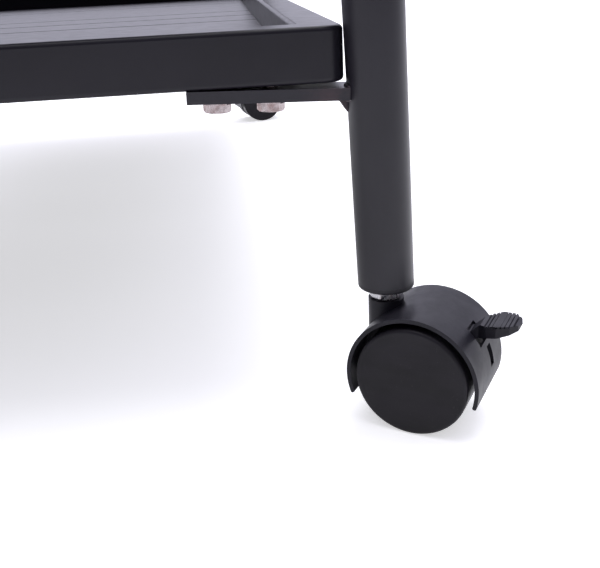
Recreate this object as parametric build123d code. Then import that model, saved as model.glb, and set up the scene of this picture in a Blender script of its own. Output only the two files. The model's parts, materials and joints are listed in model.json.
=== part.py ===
from build123d import *
from math import cos, radians, sin, sqrt, tan
import os

# Two-tier serving cart on four twin-wheel casters, in millimetres.
# Z is up, X runs across the cart (parallel to the handles), Y runs along it.
# The origin is on the floor, under the middle of the cart.

# ---------------------------------------------------------------- whole cart
frame_spacing = 780.0        # between the centres of the two end frames, along Y
tray_width = 400.0           # lower tray, outside to outside, along X
handle_height = 860.0        # floor to the top of the handle tube
lower_rim_height = 173.7     # floor to the top of the lower tray's rim
upper_rim_height = 700.0     # floor to the top of the upper tray's rim

# ---------------------------------------------------------------- end frames
tube_d = 25.0
tube_wall = 1.5
leg_lean = 2.0               # degrees that each leg leans inward going up
handle_bend_r = 62.0         # bend between leg and handle, at the tube's centre
leg_tray_gap = 0.5           # between a leg and the tray's rounded corner

# ---------------------------------------------------------------- trays
rail_w = 19.0
rail_h = 22.0
rail_wall = 1.6
rail_edge_r = 2.0            # rounded long edges of the rail tube
tray_corner_r = 9.0          # outer vertical corners, seen from above
tray_overhang = 4.5          # each tray's ends beyond the centres of the end frames
deck_drop = 16.5             # rim top to deck top
board_t = 6.0
board_gap = 2.4              # between neighbouring boards
board_seat = 0.2             # between a board's edge and the rails
board_edge_r = 0.8
board_wall = 1.6             # each board is a pan of this sheet, open underneath
centre_board = 130.0         # width of the middle board, gap centre to gap centre
inner_board = 176.0          # width of the boards beside it
groove_w = 3.0               # shallow groove along the middle board
groove_depth = 0.8

# ---------------------------------------------------------------- brackets
bracket_reach = 77.0         # leg centre to the bracket's free end
bracket_t = 5.0
bracket_wrap = 0.6           # how far in the bracket reaches round the leg, as a share of the leg's radius
bracket_corner = 4.0         # chamfer of the bracket's outer corner at the leg
weld_drop = 5.5              # weld under the bracket, down the leg
weld_out = 3.5               # weld under the bracket, along the bracket
weld_w = 9.0
weld_bite = 0.4              # how far the weld reaches into the bracket and the leg's curve
bolt_d = 6.0
bolt_hole_gap = 0.2          # around the bolt's shank, on the radius
bolt_offset = 43.0           # leg centre to the nearer bolt
bolt_pitch = 22.0
bolt_head_af = 10.0
bolt_head_h = 3.4
bolt_length = 13.0           # under the head
washer_d = 12.5
washer_t = 1.1

# ---------------------------------------------------------------- leg inserts and stems
insert_flange_t = 2.6
insert_edge_r = 1.4
insert_depth = 26.0
insert_gap = 0.05            # between insert and tube bore, on the radius
stem_d = 8.0
stem_length = 22.0           # threaded part inside the insert
stem_hex_af = 13.0
stem_hex_h = 4.6
pin_d = 6.0                  # lower end of the stem, on which the caster swivels
pin_length = 22.0
fit_gap = 0.05               # running fit, on the radius

# ---------------------------------------------------------------- casters
wheel_d = 50.8
wheel_inner = 5.2            # mid-plane to a wheel's inner face
wheel_outer = 21.4           # mid-plane to a wheel's outer face
wheel_edge_r = 1.6
wheel_hub_d = 15.0
wheel_rim_t = 4.0
wheel_pocket = 11.0          # depth of the hollow on the wheel's inner side
trail = 18.6                 # stem axis to wheel axis
axle_d = 6.0
axle_half = 17.0
hood_r = 30.0
hood_half = 20.6
hood_wall = 1.8
hood_front = -111.0          # where the hood starts, degrees from straight up
hood_back = 105.0            # where the hood ends
hood_tip_r = 0.8
boss_d = 16.0
boss_gap = 0.5               # between the stem's hexagon and the hood's boss
boss_rise = 0.3              # top of the boss above the hood's crown
web_half = 4.5               # half thickness of the rib between the wheels
web_front = -27.5
web_back = 7.0
web_low = -7.0

# ---------------------------------------------------------------- brake levers
pivot_r = 16.0               # wheel axis to the lever's pivot
pivot_angle = 52.0           # degrees from straight up
pivot_d = 3.0
lug_r = 4.2
lug_half = 1.5
lever_hub_r = 4.0
lever_half = 4.1             # half width inside the hood
lever_side_gap = 0.3         # between the lever's fork and the lug
slot_from, slot_to = 42.0, 61.5      # slot in the hood, degrees from straight up
slot_half = 4.8
slit_from, slit_to = 66.0, 85.0      # relief slit below the slot
slit_half = 2.4
slit_offset = 3.5
lever_arm_r = 2.3            # half thickness of the arm between the fork and the tab
arm_angle = 48.0             # where the arm meets the hood, degrees from straight up
tab_half = 8.5               # widest half width of the thumb tab
tab_rib_first = 4.4          # first rib, out from the slot
tab_rib_pitch = 1.7
tab_rib_depth = 0.4
tab_rib_count = 8
tab_slope = 0.13             # rise of the tab's top along its length
tab_top = 7.1                # height of the tab's top at the first rib, over the slot

# which way each caster trails, degrees from +X towards +Y; opposite corners mirror each other
front_right_heading = -32.0
rear_right_heading = 192.0
caster_heading = {"front_right": front_right_heading, "rear_left": front_right_heading + 180,
                  "rear_right": rear_right_heading, "front_left": rear_right_heading - 180}
corner_sign = {"front_right": (1, -1), "rear_right": (1, 1), "front_left": (-1, -1), "rear_left": (-1, 1)}

# ---------------------------------------------------------------- worked-out sizes
lean = tan(radians(leg_lean))
tube_r = tube_d / 2
wheel_r = wheel_d / 2
boss_top = wheel_r + hood_r + boss_rise
leg_end_height = boss_top + boss_gap + stem_hex_h        # floor to the bottom face of the leg insert
leg_y = frame_spacing / 2
handle_z = handle_height - tube_r
lower_mid_z = lower_rim_height - rail_h / 2
tray_length = frame_spacing + 2 * tray_overhang
# A leg nests against the tray's rounded corner: the corner's centre is this far from the leg's centre along X.
nest_x = sqrt((tube_r + leg_tray_gap + tray_corner_r) ** 2 - (tray_corner_r - tray_overhang) ** 2)
leg_foot_x = tray_width / 2 - tray_corner_r + nest_x + (lower_mid_z - leg_end_height) * lean
slot_x = hood_r * sin(radians(pivot_angle))              # middle of the hood's slot, from the wheel's axis
slot_z = hood_r * cos(radians(pivot_angle))
pivot_x = pivot_r * sin(radians(pivot_angle))
pivot_z = pivot_r * cos(radians(pivot_angle))


def leg_x(z):
    """Distance of a leg's centre from the cart's middle at height z."""
    return leg_foot_x - (z - leg_end_height) * lean


def tray_half_width(rim_height):
    """Half width of a tray that fits between the legs at its rail's height."""
    return leg_x(rim_height - rail_h / 2) - nest_x + tray_corner_r


def save(node, *solids):
    shape = solids[0] if len(solids) == 1 else Compound(children=list(solids))
    export_step(shape, f"parts/{node}.step")


def side_face(points):
    """Face in the XZ plane from a closed outline of (x, z) points."""
    return make_face(Plane.XZ * Polyline(*points, close=True))


def side_prism(points, half):
    """Solid with an (x, z) outline, from y = -half to y = half."""
    return extrude(side_face(points), half, both=True)


def cross_cylinder(radius, y0, y1, x=0.0, z=0.0):
    """Cylinder whose axis is parallel to Y."""
    return Pos(x, (y0 + y1) / 2, z) * Cylinder(radius, y1 - y0, rotation=(90, 0, 0))


def polar(radius, angle):
    """(x, z) of a point at an angle in degrees from straight up towards +X."""
    return radius * sin(radians(angle)), radius * cos(radians(angle))


def hexagon(across_flats, height):
    """Hexagonal prism standing on the XY plane, with its lower corners turned off."""
    prism = extrude(RegularPolygon(across_flats / 2, 6, major_radius=False), height)
    return prism & Cone(across_flats / 2 + 0.1, across_flats / 2 + 0.1 + height, height,
                        align=(Align.CENTER, Align.CENTER, Align.MIN))


# ---------------------------------------------------------------- end frames
def leg_core(sign_x, sign_y, radius, low, high):
    """Leaning round bar on a leg's axis, from height low to height high."""
    start = Vector(sign_x * leg_x(low), sign_y * leg_y, low)
    end = Vector(sign_x * leg_x(high), sign_y * leg_y, high)
    return extrude(Plane(start, z_dir=end - start) * Circle(radius), (end - start).length)


def end_tube(sign_y):
    """One tube bent into two legs and a handle."""
    foot = leg_end_height - tube_r
    path = FilletPolyline((leg_x(foot), sign_y * leg_y, foot), (leg_x(handle_z), sign_y * leg_y, handle_z),
                          (-leg_x(handle_z), sign_y * leg_y, handle_z), (-leg_x(foot), sign_y * leg_y, foot),
                          radius=handle_bend_r)
    start = Plane(path @ 0, z_dir=path % 0)
    tube = sweep(start * (Circle(tube_r) - Circle(tube_r - tube_wall)), path)
    floor_cut = Pos(0, sign_y * leg_y, 0) * Box(3 * tray_width, 4 * tube_d, 2 * (leg_end_height + insert_flange_t))
    return tube - floor_cut


def leg_insert(sign_x, sign_y):
    """Plug in the leg's open end, with a flange as wide as the tube."""
    top = leg_end_height + insert_flange_t
    foot = Pos(sign_x * leg_foot_x, sign_y * leg_y, 0)
    flange = foot * Pos(0, 0, leg_end_height) * extrude(Circle(tube_r), insert_flange_t)
    flange = fillet(flange.edges().group_by(Axis.Z)[0], insert_edge_r)
    plug = leg_core(sign_x, sign_y, tube_r - tube_wall - insert_gap, top - 0.5, top + insert_depth)
    plug = plug & Pos(0, 0, top) * Box(4 * tray_width, 4 * frame_spacing, 4 * insert_depth,
                                       align=(Align.CENTER, Align.CENTER, Align.MIN))
    bore = foot * Pos(0, 0, leg_end_height) * extrude(Circle(stem_d / 2 + fit_gap), stem_length + 1, both=True)
    return flange + plug - bore


def caster_stem(sign_x, sign_y):
    """Threaded stem with a hexagon and a plain pin, on which the caster swivels."""
    thread = extrude(Circle(stem_d / 2), stem_length)
    hexagon_body = Pos(0, 0, -stem_hex_h) * hexagon(stem_hex_af, stem_hex_h)
    pin = Pos(0, 0, -stem_hex_h) * extrude(Circle(pin_d / 2), -pin_length)
    return Pos(sign_x * leg_foot_x, sign_y * leg_y, leg_end_height) * (thread + hexagon_body + pin)


# ---------------------------------------------------------------- trays
def rail_ring(half_x, rim_height):
    """Closed frame of rectangular tube with rounded outer corners."""
    low = rim_height - rail_h

    def ring(inset, corner, z0, z1):
        outer = RectangleRounded(2 * (half_x - inset), tray_length - 2 * inset, corner)
        inner = Rectangle(2 * (half_x - rail_w + inset), tray_length - 2 * (rail_w - inset))
        return Pos(0, 0, z0) * extrude(outer - inner, z1 - z0)

    body = ring(0, tray_corner_r, low, rim_height)
    long_edges = body.edges().group_by(Axis.Z)[0] + body.edges().group_by(Axis.Z)[-1]
    body = fillet(long_edges, rail_edge_r)
    hollow = ring(rail_wall, tray_corner_r - rail_wall, low + rail_wall, rim_height - rail_wall)
    return body - hollow


def mitre_prism(half_x, rim_height, side):
    """Block that keeps one rail of the frame, between its two mitres."""
    far = 4 * frame_spacing
    half_y = tray_length / 2
    corner = {"front": (-1, -1, 1, -1), "rear": (1, 1, -1, 1), "right": (1, -1, 1, 1), "left": (-1, 1, -1, -1)}[side]
    sx0, sy0, sx1, sy1 = corner
    inner0 = (sx0 * (half_x - rail_w), sy0 * (half_y - rail_w))
    inner1 = (sx1 * (half_x - rail_w), sy1 * (half_y - rail_w))
    outer0 = (inner0[0] + sx0 * far, inner0[1] + sy0 * far)
    outer1 = (inner1[0] + sx1 * far, inner1[1] + sy1 * far)
    pull = rail_w / 4
    direction = {"front": (0, pull), "rear": (0, -pull), "right": (-pull, 0), "left": (pull, 0)}[side]
    near0 = (inner0[0] + direction[0], inner0[1] + direction[1])
    near1 = (inner1[0] + direction[0], inner1[1] + direction[1])
    outline = make_face(Polyline(outer0, inner0, near0, near1, inner1, outer1, close=True))
    return Pos(0, 0, rim_height - 2 * rail_h) * extrude(outline, 4 * rail_h)


def under_rail(rim_height):
    """Frame of the rear right bracket: its origin is the bracket's outer top corner at the free end, and X runs
    to the leg. The bracket is square to the leaning leg, so it drops away from the rail towards the leg."""
    top = rim_height - rail_h
    return Pos(leg_x(top) - bracket_reach, leg_y + tray_overhang, top) * Rot(0, leg_lean, 0)


def to_corner(shape, sign_x, sign_y):
    """The rear right shape at another corner of the cart."""
    if sign_x < 0:
        shape = mirror(shape, Plane.YZ)
    if sign_y < 0:
        shape = mirror(shape, Plane.XZ)
    return shape


def at_bolts(shape, rim_height):
    """Copies of a shape at the two bolts of the rear right bracket, from the bracket's top face."""
    return [under_rail(rim_height) * Pos(bracket_reach - bolt_offset - i * bolt_pitch, -rail_w / 2, 0) * shape
            for i in range(2)]


def tray_boards():
    """Centre Y and width of the five boards, front to back."""
    room = tray_length - 2 * rail_w
    outer_board = (room - centre_board) / 2 - inner_board
    widths = [outer_board, inner_board, centre_board, inner_board, outer_board]
    boards = []
    start = -room / 2
    for i, width in enumerate(widths):
        low = start + (board_seat if i == 0 else board_gap / 2)
        high = start + width - (board_seat if i == 4 else board_gap / 2)
        boards.append(((low + high) / 2, high - low))
        start += width
    return boards


def board(half_x, rim_height, centre_y, width, grooved):
    """One deck board across the tray, with eased edges."""
    length = 2 * (half_x - rail_w - board_seat)
    top = rim_height - deck_drop
    plank = Pos(0, centre_y, top - board_t / 2) * Box(length, width, board_t)
    plank = fillet(plank.edges().filter_by(Axis.X).group_by(Axis.Z)[-1], board_edge_r)
    if grooved:
        plank -= Pos(0, 0, top - groove_depth / 2) * Box(2 * length, groove_w, groove_depth)
    hollow_t = board_t - board_wall
    hollow = Box(length - 2 * board_wall, width - 2 * board_wall, hollow_t)
    return plank - Pos(0, centre_y, top - board_t + hollow_t / 2) * hollow


def build_tray(name, rim_height):
    half_x = tray_half_width(rim_height)
    ring = rail_ring(half_x, rim_height)
    for sign_x, sign_y in corner_sign.values():
        for drill in at_bolts(Cylinder(bolt_d / 2 + bolt_hole_gap, rail_h / 2), rim_height):
            ring -= to_corner(drill, sign_x, sign_y)
    for side in ("front", "rear", "right", "left"):
        save(f"{name}_{side}_rail", ring & mitre_prism(half_x, rim_height, side))
    names = ["front_outer", "front_inner", "centre", "rear_inner", "rear_outer"]
    for label, (centre_y, width) in zip(names, tray_boards()):
        save(f"{name}_board_{label}", board(half_x, rim_height, centre_y, width, label == "centre"))


# ---------------------------------------------------------------- brackets and bolts
def bracket(sign_x, sign_y, rim_height):
    """Flat bar welded to the leg under the cross rail, with its weld."""
    top = rim_height - rail_h
    root = bracket_reach - tube_r * bracket_wrap
    outline = Polyline((0, -rail_w), (0, 0), (root - bracket_corner, 0), (root, -bracket_corner), (root, -rail_w),
                       close=True)
    bar = under_rail(rim_height) * extrude(make_face(outline), -bracket_t)
    leg_at = leg_x(top)
    edge = leg_at - tube_r
    low = top - bracket_t - (bracket_reach - tube_r) * lean
    inside = leg_at - tube_r * bracket_wrap
    weld = side_prism([(edge - weld_out, low + weld_bite), (inside, low + weld_bite), (inside, low - weld_drop),
                       (edge + weld_bite, low - weld_drop)], weld_w / 2)
    body = bar + Pos(0, leg_y - weld_w / 2, 0) * weld - leg_core(1, 1, tube_r, top - rail_h * 3, top + rail_h * 3)
    body = body.solids().sort_by(SortBy.VOLUME)[-1]
    for drill in at_bolts(Cylinder(bolt_d / 2 + bolt_hole_gap, 4 * bracket_t), rim_height):
        body -= drill
    return to_corner(body, sign_x, sign_y)


def bolt():
    """Hexagon bolt seen from its seat: the head hangs below, the shank stands up."""
    head = Pos(0, 0, -bolt_head_h) * hexagon(bolt_head_af, bolt_head_h)
    return head + extrude(Circle(bolt_d / 2), bolt_length)


def washer():
    return extrude(Circle(washer_d / 2) - Circle(bolt_d / 2 + bolt_hole_gap), washer_t)


def build_fasteners():
    bolts, washers = [], []
    seat = Pos(0, 0, -bracket_t - washer_t)
    for rim_height in (lower_rim_height, upper_rim_height):
        for sign_x, sign_y in corner_sign.values():
            bolts += [to_corner(x, sign_x, sign_y) for x in at_bolts(seat * bolt(), rim_height)]
            washers += [to_corner(x, sign_x, sign_y) for x in at_bolts(seat * washer(), rim_height)]
    save("bracket_bolts", *bolts)
    save("bracket_washers", *washers)


# ---------------------------------------------------------------- casters
# Each is drawn with its wheel axle along Y at the origin and its trail along +X.
def capsule(x0, z0, x1, z1, radius, half):
    """Flat link between two points, with round ends, from y = -half to y = half."""
    run = Vector(x1 - x0, 0, z1 - z0)
    normal = Vector(run.Z, 0, -run.X).normalized() * radius
    middle = side_prism([(x0 + normal.X, z0 + normal.Z), (x1 + normal.X, z1 + normal.Z),
                         (x1 - normal.X, z1 - normal.Z), (x0 - normal.X, z0 - normal.Z)], half)
    return middle + cross_cylinder(radius, -half, half, x0, z0) + cross_cylinder(radius, -half, half, x1, z1)


def sector(radius, angle0, angle1, half):
    """Wedge from the axle out to a radius, between two angles from straight up."""
    middle = (angle0 + angle1) / 2
    return side_prism([(0, 0), polar(radius, angle0), polar(radius * 1.1, middle), polar(radius, angle1)], half)


def hood():
    inner_r = hood_r - hood_wall
    shell = cross_cylinder(hood_r, -hood_half, hood_half) - cross_cylinder(inner_r, -2 * hood_half, 2 * hood_half)
    below = side_prism([(0, 0), polar(4 * hood_r, hood_back), (4 * hood_r, -4 * hood_r),
                        (-4 * hood_r, -4 * hood_r), polar(4 * hood_r, hood_front)], 2 * hood_half)
    shell -= below
    tips = [edge for edge in shell.edges().filter_by(Axis.Y) if edge.center().Z < 0]
    shell = fillet(tips, hood_tip_r)
    boss_high = boss_top - wheel_r
    boss = Pos(-trail, 0, boss_high / 2) * Cylinder(boss_d / 2, boss_high)
    boss -= cross_cylinder(inner_r + hood_wall / 2, -2 * hood_half, 2 * hood_half)
    web = side_prism([(web_front, web_low), (web_front, 2 * hood_r), (web_back, 2 * hood_r), (web_back, web_low)],
                     web_half) & cross_cylinder(inner_r + hood_wall / 2, -web_half, web_half)
    lug = capsule(0, 0, pivot_x, pivot_z, lug_r, lug_half)
    trunnion = cross_cylinder(pivot_d / 2, -lever_half, lever_half, pivot_x, pivot_z)
    body = shell + boss + web + lug + trunnion
    body -= Pos(-trail, 0, boss_high) * extrude(Circle(pin_d / 2 + fit_gap), -(pin_length + 1))
    body -= cross_cylinder(axle_d / 2 + fit_gap, -2 * web_half, 2 * web_half)
    keep_lug = cross_cylinder(pivot_r + lug_r + 2, -2 * web_half, 2 * web_half)
    body -= sector(1.5 * hood_r, slot_from, slot_to, slot_half) - keep_lug
    body -= Pos(0, slit_offset, 0) * (sector(1.5 * hood_r, slit_from, slit_to, slit_half) - keep_lug)
    return body.solids().sort_by(SortBy.VOLUME)[-1]


def wheel(side):
    """Moulded wheel on one side of the rib: closed outside, hollow inside."""
    depth = wheel_outer - wheel_inner
    body = Cylinder(wheel_r, depth, align=(Align.CENTER, Align.CENTER, Align.MIN))
    body = fillet(body.edges().group_by(Axis.Z)[-1], wheel_edge_r)
    pocket = extrude(Circle(wheel_r - wheel_rim_t) - Circle(wheel_hub_d / 2), wheel_pocket)
    bore = Cylinder(axle_d / 2 + fit_gap, axle_half + 1 - wheel_inner, align=(Align.CENTER, Align.CENTER, Align.MIN))
    body = body - pocket - bore
    return Rot(-90 * side, 0, 0) * Pos(0, 0, wheel_inner) * body


def axle():
    return chamfer(cross_cylinder(axle_d / 2, -axle_half, axle_half).edges().filter_by(GeomType.CIRCLE), 0.5)


def tab_outline():
    """Side view of the lever's thumb tab, as (x, z) from the middle of the hood's slot."""
    return [(-3.0, 1.9), (2.0, 6.5), (9.0, 8.3), (16.4, 8.9), (18.8, 7.8), (18.0, 6.0), (11.0, 3.4), (5.4, 1.9),
            (-1.0, -1.1), (-5.1, -3.5), (-7.6, -0.9)]


def tab_plan():
    """Half outline of the tab seen from above, as (x from the middle of the slot, half width)."""
    return [(-slot_x, lever_half), (1.2, lever_half), (4.6, tab_half - 1.4), (9.4, tab_half), (14.8, tab_half - 1.1),
            (17.8, lever_half), (18.8, 0.0)]


def brake_lever():
    """Fork on the hood's trunnion, an arm through the slot and a ribbed thumb tab."""
    arm_end = polar(hood_r - lever_arm_r, arm_angle)
    arm = capsule(pivot_x, pivot_z, arm_end[0], arm_end[1], lever_arm_r, lever_half)
    hub = cross_cylinder(lever_hub_r, -lever_half, lever_half, pivot_x, pivot_z)
    tab = side_prism([(slot_x + x, slot_z + z) for x, z in tab_outline()], 2 * tab_half)
    half = [(slot_x + x, y) for x, y in tab_plan()]
    plan = make_face(Polyline(*half, *[(x, -y) for x, y in reversed(half[:-1])], close=True))
    tab &= extrude(plan, 3 * hood_r)
    for i in range(tab_rib_count):
        x = tab_rib_first + i * tab_rib_pitch
        top = tab_top + (x - tab_rib_first) * tab_slope
        tab -= Pos(slot_x + x, 0, slot_z + top) * Rot(0, 45, 0) * Box(2 * tab_rib_depth, 4 * tab_half, 2 * tab_rib_depth)
    body = arm + hub + tab
    fork = lug_half + lever_side_gap
    body -= cross_cylinder(lug_r + 0.4, -fork, fork, pivot_x, pivot_z)
    body -= cross_cylinder(pivot_d / 2 + fit_gap, -2 * lever_half, 2 * lever_half, pivot_x, pivot_z)
    return body.solids().sort_by(SortBy.VOLUME)[-1]


def build_casters():
    hood_shape, lever_shape, axle_shape = hood(), brake_lever(), axle()
    wheels = {"near": wheel(1), "far": wheel(-1)}
    for corner, (sign_x, sign_y) in corner_sign.items():
        stem = Pos(sign_x * leg_foot_x, sign_y * leg_y, wheel_r)
        place = stem * Rot(0, 0, caster_heading[corner]) * Pos(trail, 0, 0)
        save(f"{corner}_hood", place * hood_shape)
        save(f"{corner}_axle", place * axle_shape)
        save(f"{corner}_brake_lever", place * lever_shape)
        for side, shape in wheels.items():
            save(f"{corner}_wheel_{side}", place * shape)


os.makedirs("parts", exist_ok=True)
save("front_end_tube", end_tube(-1))
save("rear_end_tube", end_tube(1))
for corner, (sign_x, sign_y) in corner_sign.items():
    save(f"{corner}_leg_insert", leg_insert(sign_x, sign_y))
    save(f"{corner}_caster_stem", caster_stem(sign_x, sign_y))
for tray, rim_height in (("lower", lower_rim_height), ("upper", upper_rim_height)):
    build_tray(tray, rim_height)
    for corner, (sign_x, sign_y) in corner_sign.items():
        save(f"{tray}_{corner}_bracket", bracket(sign_x, sign_y, rim_height))
build_fasteners()
build_casters()
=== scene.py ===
"""Looks of a two-tier serving cart on twin-wheel casters, built round its CAD frame. Metres, +Z up."""

import json
import math

import bmesh
import bpy
from mathutils import Matrix, Vector


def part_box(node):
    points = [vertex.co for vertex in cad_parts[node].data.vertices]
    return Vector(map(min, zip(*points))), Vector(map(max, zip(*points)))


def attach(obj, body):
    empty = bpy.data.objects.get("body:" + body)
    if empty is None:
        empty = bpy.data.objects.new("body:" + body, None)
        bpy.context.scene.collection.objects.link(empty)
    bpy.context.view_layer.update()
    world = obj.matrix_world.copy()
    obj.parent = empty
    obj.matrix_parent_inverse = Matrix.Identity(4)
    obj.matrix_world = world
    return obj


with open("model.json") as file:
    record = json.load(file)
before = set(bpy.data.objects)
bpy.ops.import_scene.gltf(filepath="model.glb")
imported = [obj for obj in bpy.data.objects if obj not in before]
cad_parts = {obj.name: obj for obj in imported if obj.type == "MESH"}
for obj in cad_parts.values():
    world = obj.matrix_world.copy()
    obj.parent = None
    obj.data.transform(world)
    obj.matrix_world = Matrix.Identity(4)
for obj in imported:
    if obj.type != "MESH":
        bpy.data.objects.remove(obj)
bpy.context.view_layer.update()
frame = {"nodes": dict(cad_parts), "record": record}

CORNERS = ("front_right", "rear_right", "front_left", "rear_left")
TRAYS = ("lower", "upper")
MM = 0.001

# ---------------------------------------------------------------- camera, from the front right leg's foot
CAMERA_OFFSET = Vector((-65.6, -325.7, 136.6)) * MM
CAMERA_YAW = math.radians(4.72)        # to the right of +Y
CAMERA_PITCH = math.radians(22.08)     # down
CAMERA_ROLL = math.radians(-2.96)
CAMERA_LENS = 47.7                     # mm, on a sensor of CAMERA_SENSOR mm
CAMERA_SENSOR = 36.0
CAMERA_NEAR = 10 * MM                  # nearest distance that it shows

# ---------------------------------------------------------------- studio
FLOOR_SIZE = 40.0
FLOOR_COLOUR = (0.86, 0.86, 0.86, 1)
FLOOR_ROUGHNESS = 0.9
FLOOR_GLOW = 0.55                      # light that the floor gives off itself
TOP_LIGHT_Y = 0.4                      # behind the cart's middle
TOP_LIGHT_HEIGHT = 3.2
TOP_LIGHT_SIZE = 3.5
TOP_LIGHT_POWER = 95.0
WHITE = (1, 1, 1, 1)
SURROUND_COLOUR = (0.85, 0.84, 1.0, 1)
FRONT_LEVEL = 0.03                     # brightness of the surround in front of the cart
BACK_LEVEL = 1.60                      # and behind it
FRONT_TO_BACK = (-0.35, 0.75)          # Y of a direction where it starts to brighten, and where it is full
LEFT_SHARE = 0.7                       # how bright the left is, as a share of the right
LEFT_TO_RIGHT = (-1.0, 0.6)            # X of a direction at the left's share, and at the right's
SKY_LEVEL = 0.9                        # brightness that is added straight up
LOW_TO_SKY = (0.25, 0.95)              # Z of a direction where it starts, and where it is full
BACKDROP_LEVEL = 0.97                  # what a view sees above the floor's edge

# ---------------------------------------------------------------- powder coat
SLATE = (0.0095, 0.0086, 0.0125)
SLATE_ROUGHNESS = 0.34
SLATE_GLOSS = 0.22
LEG_SHADE = 1.3                        # legs and brackets are a little paler than the trays
COAT_CLOUD = 0.12                      # clouding, as a share of the colour, both ways
COAT_FLECK_SHADE = 2.0
COAT_FLECK = 0.35                      # how much of a fleck's colour shows
# paler edges in patches: partly painted edge highlight, partly rubbed wear
COAT_SHEEN_AND_SCUFF_EDGE = 0.6 * MM
COAT_SHEEN_AND_SCUFF_SHADE = 4.0
COAT_SHEEN_AND_SCUFF = 0.6
COAT_PEEL = 0.25                       # strength of the orange peel
COAT_PEEL_FINE = 0.35                  # share of its finer grain
COAT_PEEL_HEIGHT = 0.005 * MM
HEAT_COLOUR = (0.075, 0.040, 0.045, 1)
HEAT = 0.55
HEAT_FROM = 26 * MM                    # in from a bracket's outer end, where the stain starts
HEAT_FULL = 8 * MM                     # and where it is full

# ---------------------------------------------------------------- moulded plastic
FLOW_SHARE = 0.15                      # flow marks, as a share of the colour, both ways
# paler edges in patches: partly painted edge highlight, partly rubbed wear
RUB_AND_SHEEN_EDGE = 0.5 * MM
RUB_AND_SHEEN_SHADE = 4.5
RUB_AND_SHEEN = 0.5
DUST_COLOUR = (0.16, 0.155, 0.15, 1)
GRAIN = 0.3                            # strength of the moulded grain
GRAIN_CELLS = 0.5                      # share of its cells
GRAIN_CELL_SCALE = 0.7
GRAIN_HEIGHT = 0.03 * MM

# ---------------------------------------------------------------- zinc plate
STAIN_SHADE = (0.72, 0.62, 0.60)       # a stain's share of the plate's red, green and blue
TURNING = 0.25                         # strength of the turning lines
TURNING_HEIGHT = 0.02 * MM

# ---------------------------------------------------------------- weld beads
LEG_LEAN = math.radians(2.0)           # inward going up
WELD_DROP = 5.5 * MM                   # from a bracket's underside down to the foot of its weld
BRACKET_THICKNESS = 5.0 * MM
BEAD_RADIUS = 1.0 * MM
BEAD_RIPPLE = 0.15 * MM
BEAD_RIPPLE_PITCH = 1.3 * MM
BEAD_STEP = 0.33 * MM
BEAD_SIDES = 10
BEAD_TIP = 0.35                        # thickness at a bead's two ends, as a share of its own
BEAD_TIP_STEPS = 6                     # steps per whole thickness, so the tips fill out in about four
BEAD_FROM = math.radians(-20)          # round the leg from the bracket's own direction, to the cart's end
BEAD_TO = math.radians(62)             # and to its middle
WELD_SHADE = 1.6
WELD_STAIN_COLOUR = (0.045, 0.030, 0.036, 1)
WELD_BARE_COLOUR = (0.34, 0.32, 0.33, 1)
WELD_BARE = 0.8                        # how much of the bare colour a spot shows
WELD_BARE_METAL = 0.7
WELD_GLOSS = 0.4
WELD_BUMP = 0.3
WELD_BUMP_HEIGHT = 0.04 * MM

# ---------------------------------------------------------------- shader nodes
RANGE_SOCKETS = ("From Min", "From Max", "To Min", "To Max")
MIX_A, MIX_B, MIX_RESULT = 6, 7, 2     # the mix node's colour sockets
FLAT_DOT, SHARP_DOT = 0.99, 0.80       # how far a rounded normal agrees with the face's own
EDGE_SAMPLES = 4
ROUGH_SPAN = (0.3, 0.7)                # the part of a noise that a roughness runs over


class Nodes:
    """A node tree, with short calls for the nodes that the finishes and the surround use."""

    def __init__(self, tree):
        self.tree = tree

    def add(self, kind, **settings):
        node = self.tree.nodes.new(kind)
        for key, value in settings.items():
            setattr(node, key, value)
        return node

    def feed(self, socket, value):
        """Give a socket a number, a colour, or another node's output."""
        if isinstance(value, (int, float, tuple)):
            socket.default_value = value
        else:
            self.tree.links.new(value, socket)

    def axes(self, vector):
        """The X, Y and Z of a vector, as outputs with those names."""
        parts = self.add("ShaderNodeSeparateXYZ")
        self.feed(parts.inputs["Vector"], vector)
        return parts.outputs

    def spread(self, value, low, high, to_low=0.0, to_high=1.0):
        """value from low..high to to_low..to_high, clamped."""
        node = self.add("ShaderNodeMapRange", interpolation_type="SMOOTHSTEP")
        for socket, number in zip(RANGE_SOCKETS, (low, high, to_low, to_high)):
            node.inputs[socket].default_value = number
        self.feed(node.inputs["Value"], value)
        return node.outputs["Result"]

    def math(self, operation, *values):
        node = self.add("ShaderNodeMath", operation=operation)
        for socket, value in zip(node.inputs, values):
            self.feed(socket, value)
        return node.outputs["Value"]

    def times(self, a, b):
        return self.math("MULTIPLY", a, b)


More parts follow.
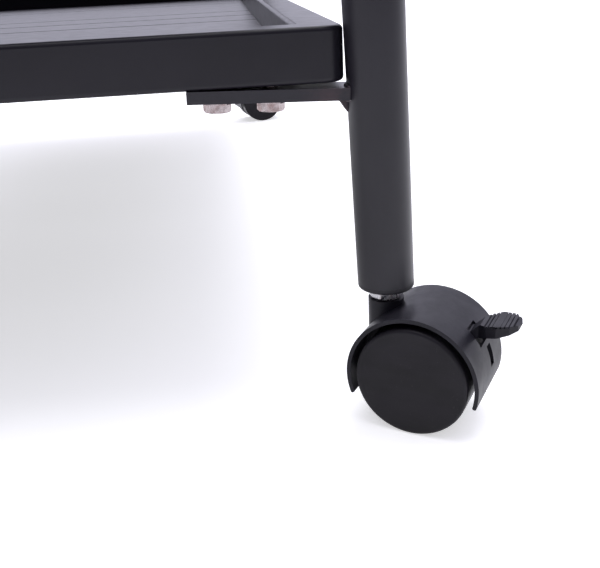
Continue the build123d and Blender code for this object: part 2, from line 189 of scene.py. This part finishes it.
class Finish(Nodes):
    """A material, with short calls for the patterns that its principled shader takes."""

    def __init__(self, name):
        self.material = bpy.data.materials.new(name)
        self.material.use_nodes = True
        super().__init__(self.material.node_tree)
        self.shader = self.tree.nodes["Principled BSDF"]

    def place(self):
        """Coordinates in the object's own space, in metres."""
        return self.add("ShaderNodeTexCoord").outputs["Object"]

    def noise(self, scale, detail, roughness=0.5, stretch=(1, 1, 1)):
        mapping = self.add("ShaderNodeMapping")
        mapping.inputs["Scale"].default_value = stretch
        self.feed(mapping.inputs["Vector"], self.place())
        node = self.add("ShaderNodeTexNoise")
        node.inputs["Scale"].default_value = scale
        node.inputs["Detail"].default_value = detail
        node.inputs["Roughness"].default_value = roughness
        self.feed(node.inputs["Vector"], mapping.outputs["Vector"])
        return node.outputs["Fac"]

    def cells(self, scale):
        node = self.add("ShaderNodeTexVoronoi")
        node.inputs["Scale"].default_value = scale
        self.feed(node.inputs["Vector"], self.place())
        return node.outputs["Distance"]

    def edges(self, radius):
        """Near 1 along sharp edges, 0 on flat faces."""
        bevel = self.add("ShaderNodeBevel", samples=EDGE_SAMPLES)
        bevel.inputs["Radius"].default_value = radius
        geometry = self.add("ShaderNodeNewGeometry")
        dot = self.add("ShaderNodeVectorMath", operation="DOT_PRODUCT")
        self.feed(dot.inputs[0], bevel.outputs["Normal"])
        self.feed(dot.inputs[1], geometry.outputs["Normal"])
        return self.spread(dot.outputs["Value"], FLAT_DOT, SHARP_DOT)

    def mix(self, factor, a, b):
        """Colour a to colour b by factor."""
        node = self.add("ShaderNodeMix", data_type="RGBA")
        self.feed(node.inputs["Factor"], factor)
        self.feed(node.inputs[MIX_A], a)
        self.feed(node.inputs[MIX_B], b)
        return node.outputs[MIX_RESULT]

    def mottle(self, pattern, colour, share):
        """The colour, darker where the pattern is low and paler where it is high."""
        return self.mix(pattern, shade(colour, 1 - share), shade(colour, 1 + share))

    def tint(self, body, pattern, strength, colour):
        """The body's colour, with another laid over it where the pattern is high."""
        return self.mix(self.times(pattern, strength), body, colour)

    def rough(self, pattern, low, high, span=ROUGH_SPAN):
        """Roughness from low to high with the pattern."""
        self.feed(self.shader.inputs["Roughness"], self.spread(pattern, *span, low, high))

    def bump(self, height, strength, distance):
        node = self.add("ShaderNodeBump")
        node.inputs["Strength"].default_value = strength
        node.inputs["Distance"].default_value = distance
        self.feed(node.inputs["Height"], height)
        self.feed(self.shader.inputs["Normal"], node.outputs["Normal"])

    def set(self, **values):
        """Shader sockets by name, with _ for a space."""
        for name, value in values.items():
            self.feed(self.shader.inputs[name.replace("_", " ")], value)


def shade(colour, factor=1):
    """A colour made darker or paler, as red, green, blue and full alpha."""
    return tuple(channel * factor for channel in colour[:3]) + (1,)


# ---------------------------------------------------------------- finishes
def heat_stain(coat, body):
    """The body's colour, with the brown of a weld's heat laid over the outer ends of the brackets."""
    side = coat.math("ABSOLUTE", coat.axes(coat.place())["X"])
    outer_end = max(abs(corner.x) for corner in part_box("lower_front_right_bracket"))
    near_weld = coat.spread(side, outer_end - HEAT_FROM, outer_end - HEAT_FULL)
    patches = coat.spread(coat.noise(scale=90, detail=4), low=0.35, high=0.6)
    return coat.tint(body, coat.times(near_weld, patches), HEAT, HEAT_COLOUR)


def powder_coat(name, colour, roughness=SLATE_ROUGHNESS, gloss=SLATE_GLOSS, heat=False):
    """Satin powder coat: fine orange peel, faint clouding, lighter edges in patches, partly painted
    highlight and partly rubbed wear.
    """
    coat = Finish(name)
    clouds = coat.spread(coat.noise(scale=14, detail=4), low=0.35, high=0.65)
    flecks = coat.spread(coat.cells(scale=1400), low=0.05, high=0.22, to_low=1, to_high=0)
    sheen_and_wear = coat.spread(coat.noise(scale=160, detail=5, roughness=0.7), low=0.42, high=0.68)
    # edges made paler in patches: painted edge highlight together with rubbed wear
    sheen_and_scuffs = coat.times(coat.edges(COAT_SHEEN_AND_SCUFF_EDGE), sheen_and_wear)
    body = coat.mottle(clouds, colour, COAT_CLOUD)
    body = coat.tint(body, flecks, COAT_FLECK, shade(colour, COAT_FLECK_SHADE))
    body = coat.tint(body, sheen_and_scuffs, COAT_SHEEN_AND_SCUFF, shade(colour, COAT_SHEEN_AND_SCUFF_SHADE))
    if heat:
        body = heat_stain(coat, body)
    coat.set(Base_Color=body, Specular_IOR_Level=gloss)
    coat.rough(coat.noise(scale=110, detail=3, roughness=0.6), roughness - 0.015, roughness + 0.02)
    fine = coat.times(coat.noise(scale=2600, detail=1), COAT_PEEL_FINE)
    coat.bump(coat.math("ADD", coat.noise(scale=900, detail=2), fine), COAT_PEEL, COAT_PEEL_HEIGHT)
    return coat.material


def moulded_plastic(name, colour, roughness, gloss, grain=1500, dust=0.0):
    """Moulded nylon: spark-eroded grain, faint flow marks, paler edges in patches that are partly painted
    highlight and partly rubbed wear, a little dust.
    """
    nylon = Finish(name)
    flow = nylon.spread(nylon.noise(scale=35, detail=3, stretch=(1, 1, 3)), low=0.35, high=0.65)
    sheen_and_wear = nylon.spread(nylon.noise(scale=220, detail=4, roughness=0.6), low=0.4, high=0.7)
    # edges made paler in patches: painted edge highlight together with rubbed wear
    rubs_and_sheen = nylon.times(nylon.edges(RUB_AND_SHEEN_EDGE), sheen_and_wear)
    specks = nylon.spread(nylon.noise(scale=900, detail=3, roughness=0.7), low=0.62, high=0.75)
    body = nylon.mottle(flow, colour, FLOW_SHARE)
    body = nylon.tint(body, rubs_and_sheen, RUB_AND_SHEEN, shade(colour, RUB_AND_SHEEN_SHADE))
    body = nylon.tint(body, specks, dust, DUST_COLOUR)
    nylon.set(Base_Color=body, Specular_IOR_Level=gloss)
    nylon.rough(nylon.noise(scale=60, detail=5, roughness=0.65), roughness - 0.06, roughness + 0.08)
    cells = nylon.times(nylon.cells(scale=grain * GRAIN_CELL_SCALE), GRAIN_CELLS)
    nylon.bump(nylon.math("ADD", nylon.noise(scale=grain, detail=2), cells), GRAIN, GRAIN_HEIGHT)
    return nylon.material


def bright_zinc(name, colour, roughness):
    """Bright zinc plate: slightly cloudy, with fine turning lines and stains."""
    zinc = Finish(name)
    stains = zinc.spread(zinc.noise(scale=260, detail=4, roughness=0.6), low=0.4, high=0.68)
    stained = tuple(channel * share for channel, share in zip(colour, STAIN_SHADE))
    zinc.set(Base_Color=zinc.mix(stains, shade(colour), shade(stained)), Metallic=1.0)
    zinc.rough(zinc.noise(scale=700, detail=3, roughness=0.6), roughness - 0.08, roughness + 0.12)
    zinc.bump(zinc.noise(scale=1800, detail=2, stretch=(1, 1, 6)), TURNING, TURNING_HEIGHT)
    return zinc.material


def weld_coat():
    """Coat over a weld: darker heat stain with a few bright bare spots."""
    weld = Finish("weld_coat")
    spots = weld.spread(weld.noise(scale=420, detail=3, roughness=0.6), low=0.56, high=0.66)
    stains = weld.spread(weld.noise(scale=150, detail=4, roughness=0.6), low=0.4, high=0.65)
    body = weld.mix(stains, shade(SLATE, WELD_SHADE), WELD_STAIN_COLOUR)
    body = weld.tint(body, spots, WELD_BARE, WELD_BARE_COLOUR)
    weld.set(Base_Color=body, Metallic=weld.times(spots, WELD_BARE_METAL), Specular_IOR_Level=WELD_GLOSS)
    weld.rough(weld.noise(scale=300, detail=3), low=0.30, high=0.46, span=(0.35, 0.65))
    weld.bump(weld.noise(scale=900, detail=3), WELD_BUMP, WELD_BUMP_HEIGHT)
    return weld.material


FINISHES = {
    "frame": powder_coat("frame_coat", shade(SLATE, LEG_SHADE), roughness=0.38, gloss=0.33),
    "tray_rim": powder_coat("rim_coat", SLATE),
    "deck": powder_coat("deck_coat", SLATE),
    "bracket": powder_coat("bracket_coat", shade(SLATE, LEG_SHADE), roughness=0.40, gloss=0.32, heat=True),
    # the bolts' zinc is a darker, pinker copy of the stems' zinc: painted shade standing in for the dark
    # reflections on the bolts
    "zinc": bright_zinc("bolt_zinc_painted_shade", (0.30, 0.262, 0.262), roughness=0.24),
    "stem": bright_zinc("stem_zinc", (0.62, 0.62, 0.64), roughness=0.26),
    "hood": moulded_plastic("hood_nylon", (0.0125, 0.0118, 0.0165), roughness=0.42, gloss=0.19),
    "wheel": moulded_plastic("wheel_nylon", (0.0085, 0.0074, 0.0105), roughness=0.46, gloss=0.20,
                             grain=1200, dust=0.08),
    "lever": moulded_plastic("lever_nylon", (0.011, 0.0105, 0.0145), roughness=0.44, gloss=0.20,
                             grain=1700),
    "insert": moulded_plastic("insert_plastic", (0.012, 0.0115, 0.0145), roughness=0.46, gloss=0.30,
                              grain=1300),
}
NODE_SLOT = {part["node"]: part["material_slot"] for part in frame["record"]["subparts"]}


def finish_cad_nodes():
    for name, node in frame["nodes"].items():
        node.data.materials.clear()
        node.data.materials.append(FINISHES[NODE_SLOT[name]])


# ---------------------------------------------------------------- weld beads
def leg_foot(corner):
    """Centre of a leg's lower end."""
    low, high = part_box(f"{corner}_caster_stem")
    return Vector(((low.x + high.x) / 2, (low.y + high.y) / 2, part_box(f"{corner}_leg_insert")[0].z))


def leg_axis(corner, height):
    """Centre of a leg at a height."""
    foot = leg_foot(corner)
    inward = -math.copysign(1, foot.x)
    return Vector((foot.x + inward * (height - foot.z) * math.tan(LEG_LEAN), foot.y, height))


def tube_radius():
    low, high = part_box("front_end_tube")
    return (high.y - low.y) / 2


def bead_ring(mesh, centre, outward, radius, thick):
    """Ring of points round one place of a bead, at a radius out from the leg's centre."""
    ring = []
    for j in range(BEAD_SIDES):
        turn = 2 * math.pi * j / BEAD_SIDES
        rise = Vector((0, 0, thick * math.sin(turn)))
        ring.append(mesh.verts.new(centre + outward * (radius + thick * math.cos(turn)) + rise))
    return ring


def bead(name, centre, radius):
    """Rippled weld bead along an arc round a leg, on the side that faces the cart's inside."""
    mesh = bmesh.new()
    count = int((BEAD_TO - BEAD_FROM) * radius / BEAD_STEP)
    inward_x, inward_y = -math.copysign(1, centre.x), -math.copysign(1, centre.y)
    rings = []
    for i in range(count + 1):
        angle = BEAD_FROM + (BEAD_TO - BEAD_FROM) * i / count
        outward = Vector((inward_x * math.cos(angle), inward_y * math.sin(angle), 0))
        ripple = BEAD_RIPPLE * math.sin(2 * math.pi * (angle * radius) / BEAD_RIPPLE_PITCH)
        taper = min(1.0, BEAD_TIP + min(i, count - i) / BEAD_TIP_STEPS)
        rings.append(bead_ring(mesh, centre, outward, radius, (BEAD_RADIUS + ripple) * taper))
    for first, second in zip(rings, rings[1:]):
        for j in range(BEAD_SIDES):
            k = (j + 1) % BEAD_SIDES
            mesh.faces.new((first[j], first[k], second[k], second[j]))
    mesh.faces.new(rings[0])
    mesh.faces.new(reversed(rings[-1]))
    bmesh.ops.recalc_face_normals(mesh, faces=mesh.faces)
    data = bpy.data.meshes.new(name)
    mesh.to_mesh(data)
    mesh.free()
    data.shade_smooth()
    piece = bpy.data.objects.new(name, data)
    bpy.context.scene.collection.objects.link(piece)
    return piece


def welds():
    """A bead under and over each bracket, where it meets its leg."""
    coat = weld_coat()
    for tray in TRAYS:
        for corner in CORNERS:
            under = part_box(f"{tray}_{corner}_bracket")[0].z + WELD_DROP
            for label, height in (("under", under), ("over", under + BRACKET_THICKNESS)):
                centre = leg_axis(corner, height)
                piece = bead(f"{tray}_{corner}_weld_{label}", centre, tube_radius())
                piece.data.materials.append(coat)
                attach(piece, "cart")


# ---------------------------------------------------------------- studio
def floor():
    paper = Finish("floor_paper")
    paper.set(Base_Color=FLOOR_COLOUR, Roughness=FLOOR_ROUGHNESS, Specular_IOR_Level=0.0)
    paper.set(Emission_Color=WHITE, Emission_Strength=FLOOR_GLOW)
    bpy.ops.mesh.primitive_plane_add(size=FLOOR_SIZE)
    plane = bpy.context.object
    plane.name = "floor"
    plane.data.materials.append(paper.material)


def surround():
    """A studio that is bright behind and above the cart and dark in front. Views see it evenly pale."""
    world = bpy.data.worlds.new("studio")
    bpy.context.scene.world = world
    world.use_nodes = True
    studio = Nodes(world.node_tree)
    direction = studio.axes(studio.add("ShaderNodeTexCoord").outputs["Generated"])
    depth = studio.spread(direction["Y"], *FRONT_TO_BACK, FRONT_LEVEL, BACK_LEVEL)
    side = studio.spread(direction["X"], *LEFT_TO_RIGHT, LEFT_SHARE, 1.0)
    sky = studio.spread(direction["Z"], *LOW_TO_SKY, 0.0, SKY_LEVEL)
    around = studio.tree.nodes["Background"]
    studio.feed(around.inputs["Color"], SURROUND_COLOUR)
    studio.feed(around.inputs["Strength"], studio.math("ADD", studio.times(depth, side), sky))
    backdrop = studio.add("ShaderNodeBackground")
    studio.feed(backdrop.inputs["Color"], WHITE)
    studio.feed(backdrop.inputs["Strength"], BACKDROP_LEVEL)
    choose = studio.add("ShaderNodeMixShader")
    studio.feed(choose.inputs["Fac"], studio.add("ShaderNodeLightPath").outputs["Is Camera Ray"])
    studio.feed(choose.inputs[1], around.outputs["Background"])
    studio.feed(choose.inputs[2], backdrop.outputs["Background"])
    studio.feed(studio.tree.nodes["World Output"].inputs["Surface"], choose.outputs["Shader"])


def top_light():
    light = bpy.data.lights.new("top_light", "AREA")
    light.shape = "DISK"
    light.size = TOP_LIGHT_SIZE
    light.energy = TOP_LIGHT_POWER
    lamp = bpy.data.objects.new("top_light", light)
    lamp.location = (0, TOP_LIGHT_Y, TOP_LIGHT_HEIGHT)
    lamp.visible_camera = False
    bpy.context.scene.collection.objects.link(lamp)


def camera():
    forward = Vector((
        math.sin(CAMERA_YAW) * math.cos(CAMERA_PITCH),
        math.cos(CAMERA_YAW) * math.cos(CAMERA_PITCH),
        -math.sin(CAMERA_PITCH),
    ))
    right = Vector((math.cos(CAMERA_YAW), -math.sin(CAMERA_YAW), 0))
    up = right.cross(forward)
    rolled_right = right * math.cos(CAMERA_ROLL) + up * math.sin(CAMERA_ROLL)
    rolled_up = up * math.cos(CAMERA_ROLL) - right * math.sin(CAMERA_ROLL)
    data = bpy.data.cameras.new("camera")
    data.lens = CAMERA_LENS
    data.sensor_width = CAMERA_SENSOR
    data.clip_start = CAMERA_NEAR
    eye = bpy.data.objects.new("camera", data)
    axes = Matrix((rolled_right, rolled_up, -forward)).transposed()
    eye.matrix_world = Matrix.Translation(leg_foot("front_right") + CAMERA_OFFSET) @ axes.to_4x4()
    bpy.context.scene.collection.objects.link(eye)
    bpy.context.scene.camera = eye


bpy.context.scene.view_settings.view_transform = "Standard"
finish_cad_nodes()
welds()
floor()
surround()
top_light()
camera()
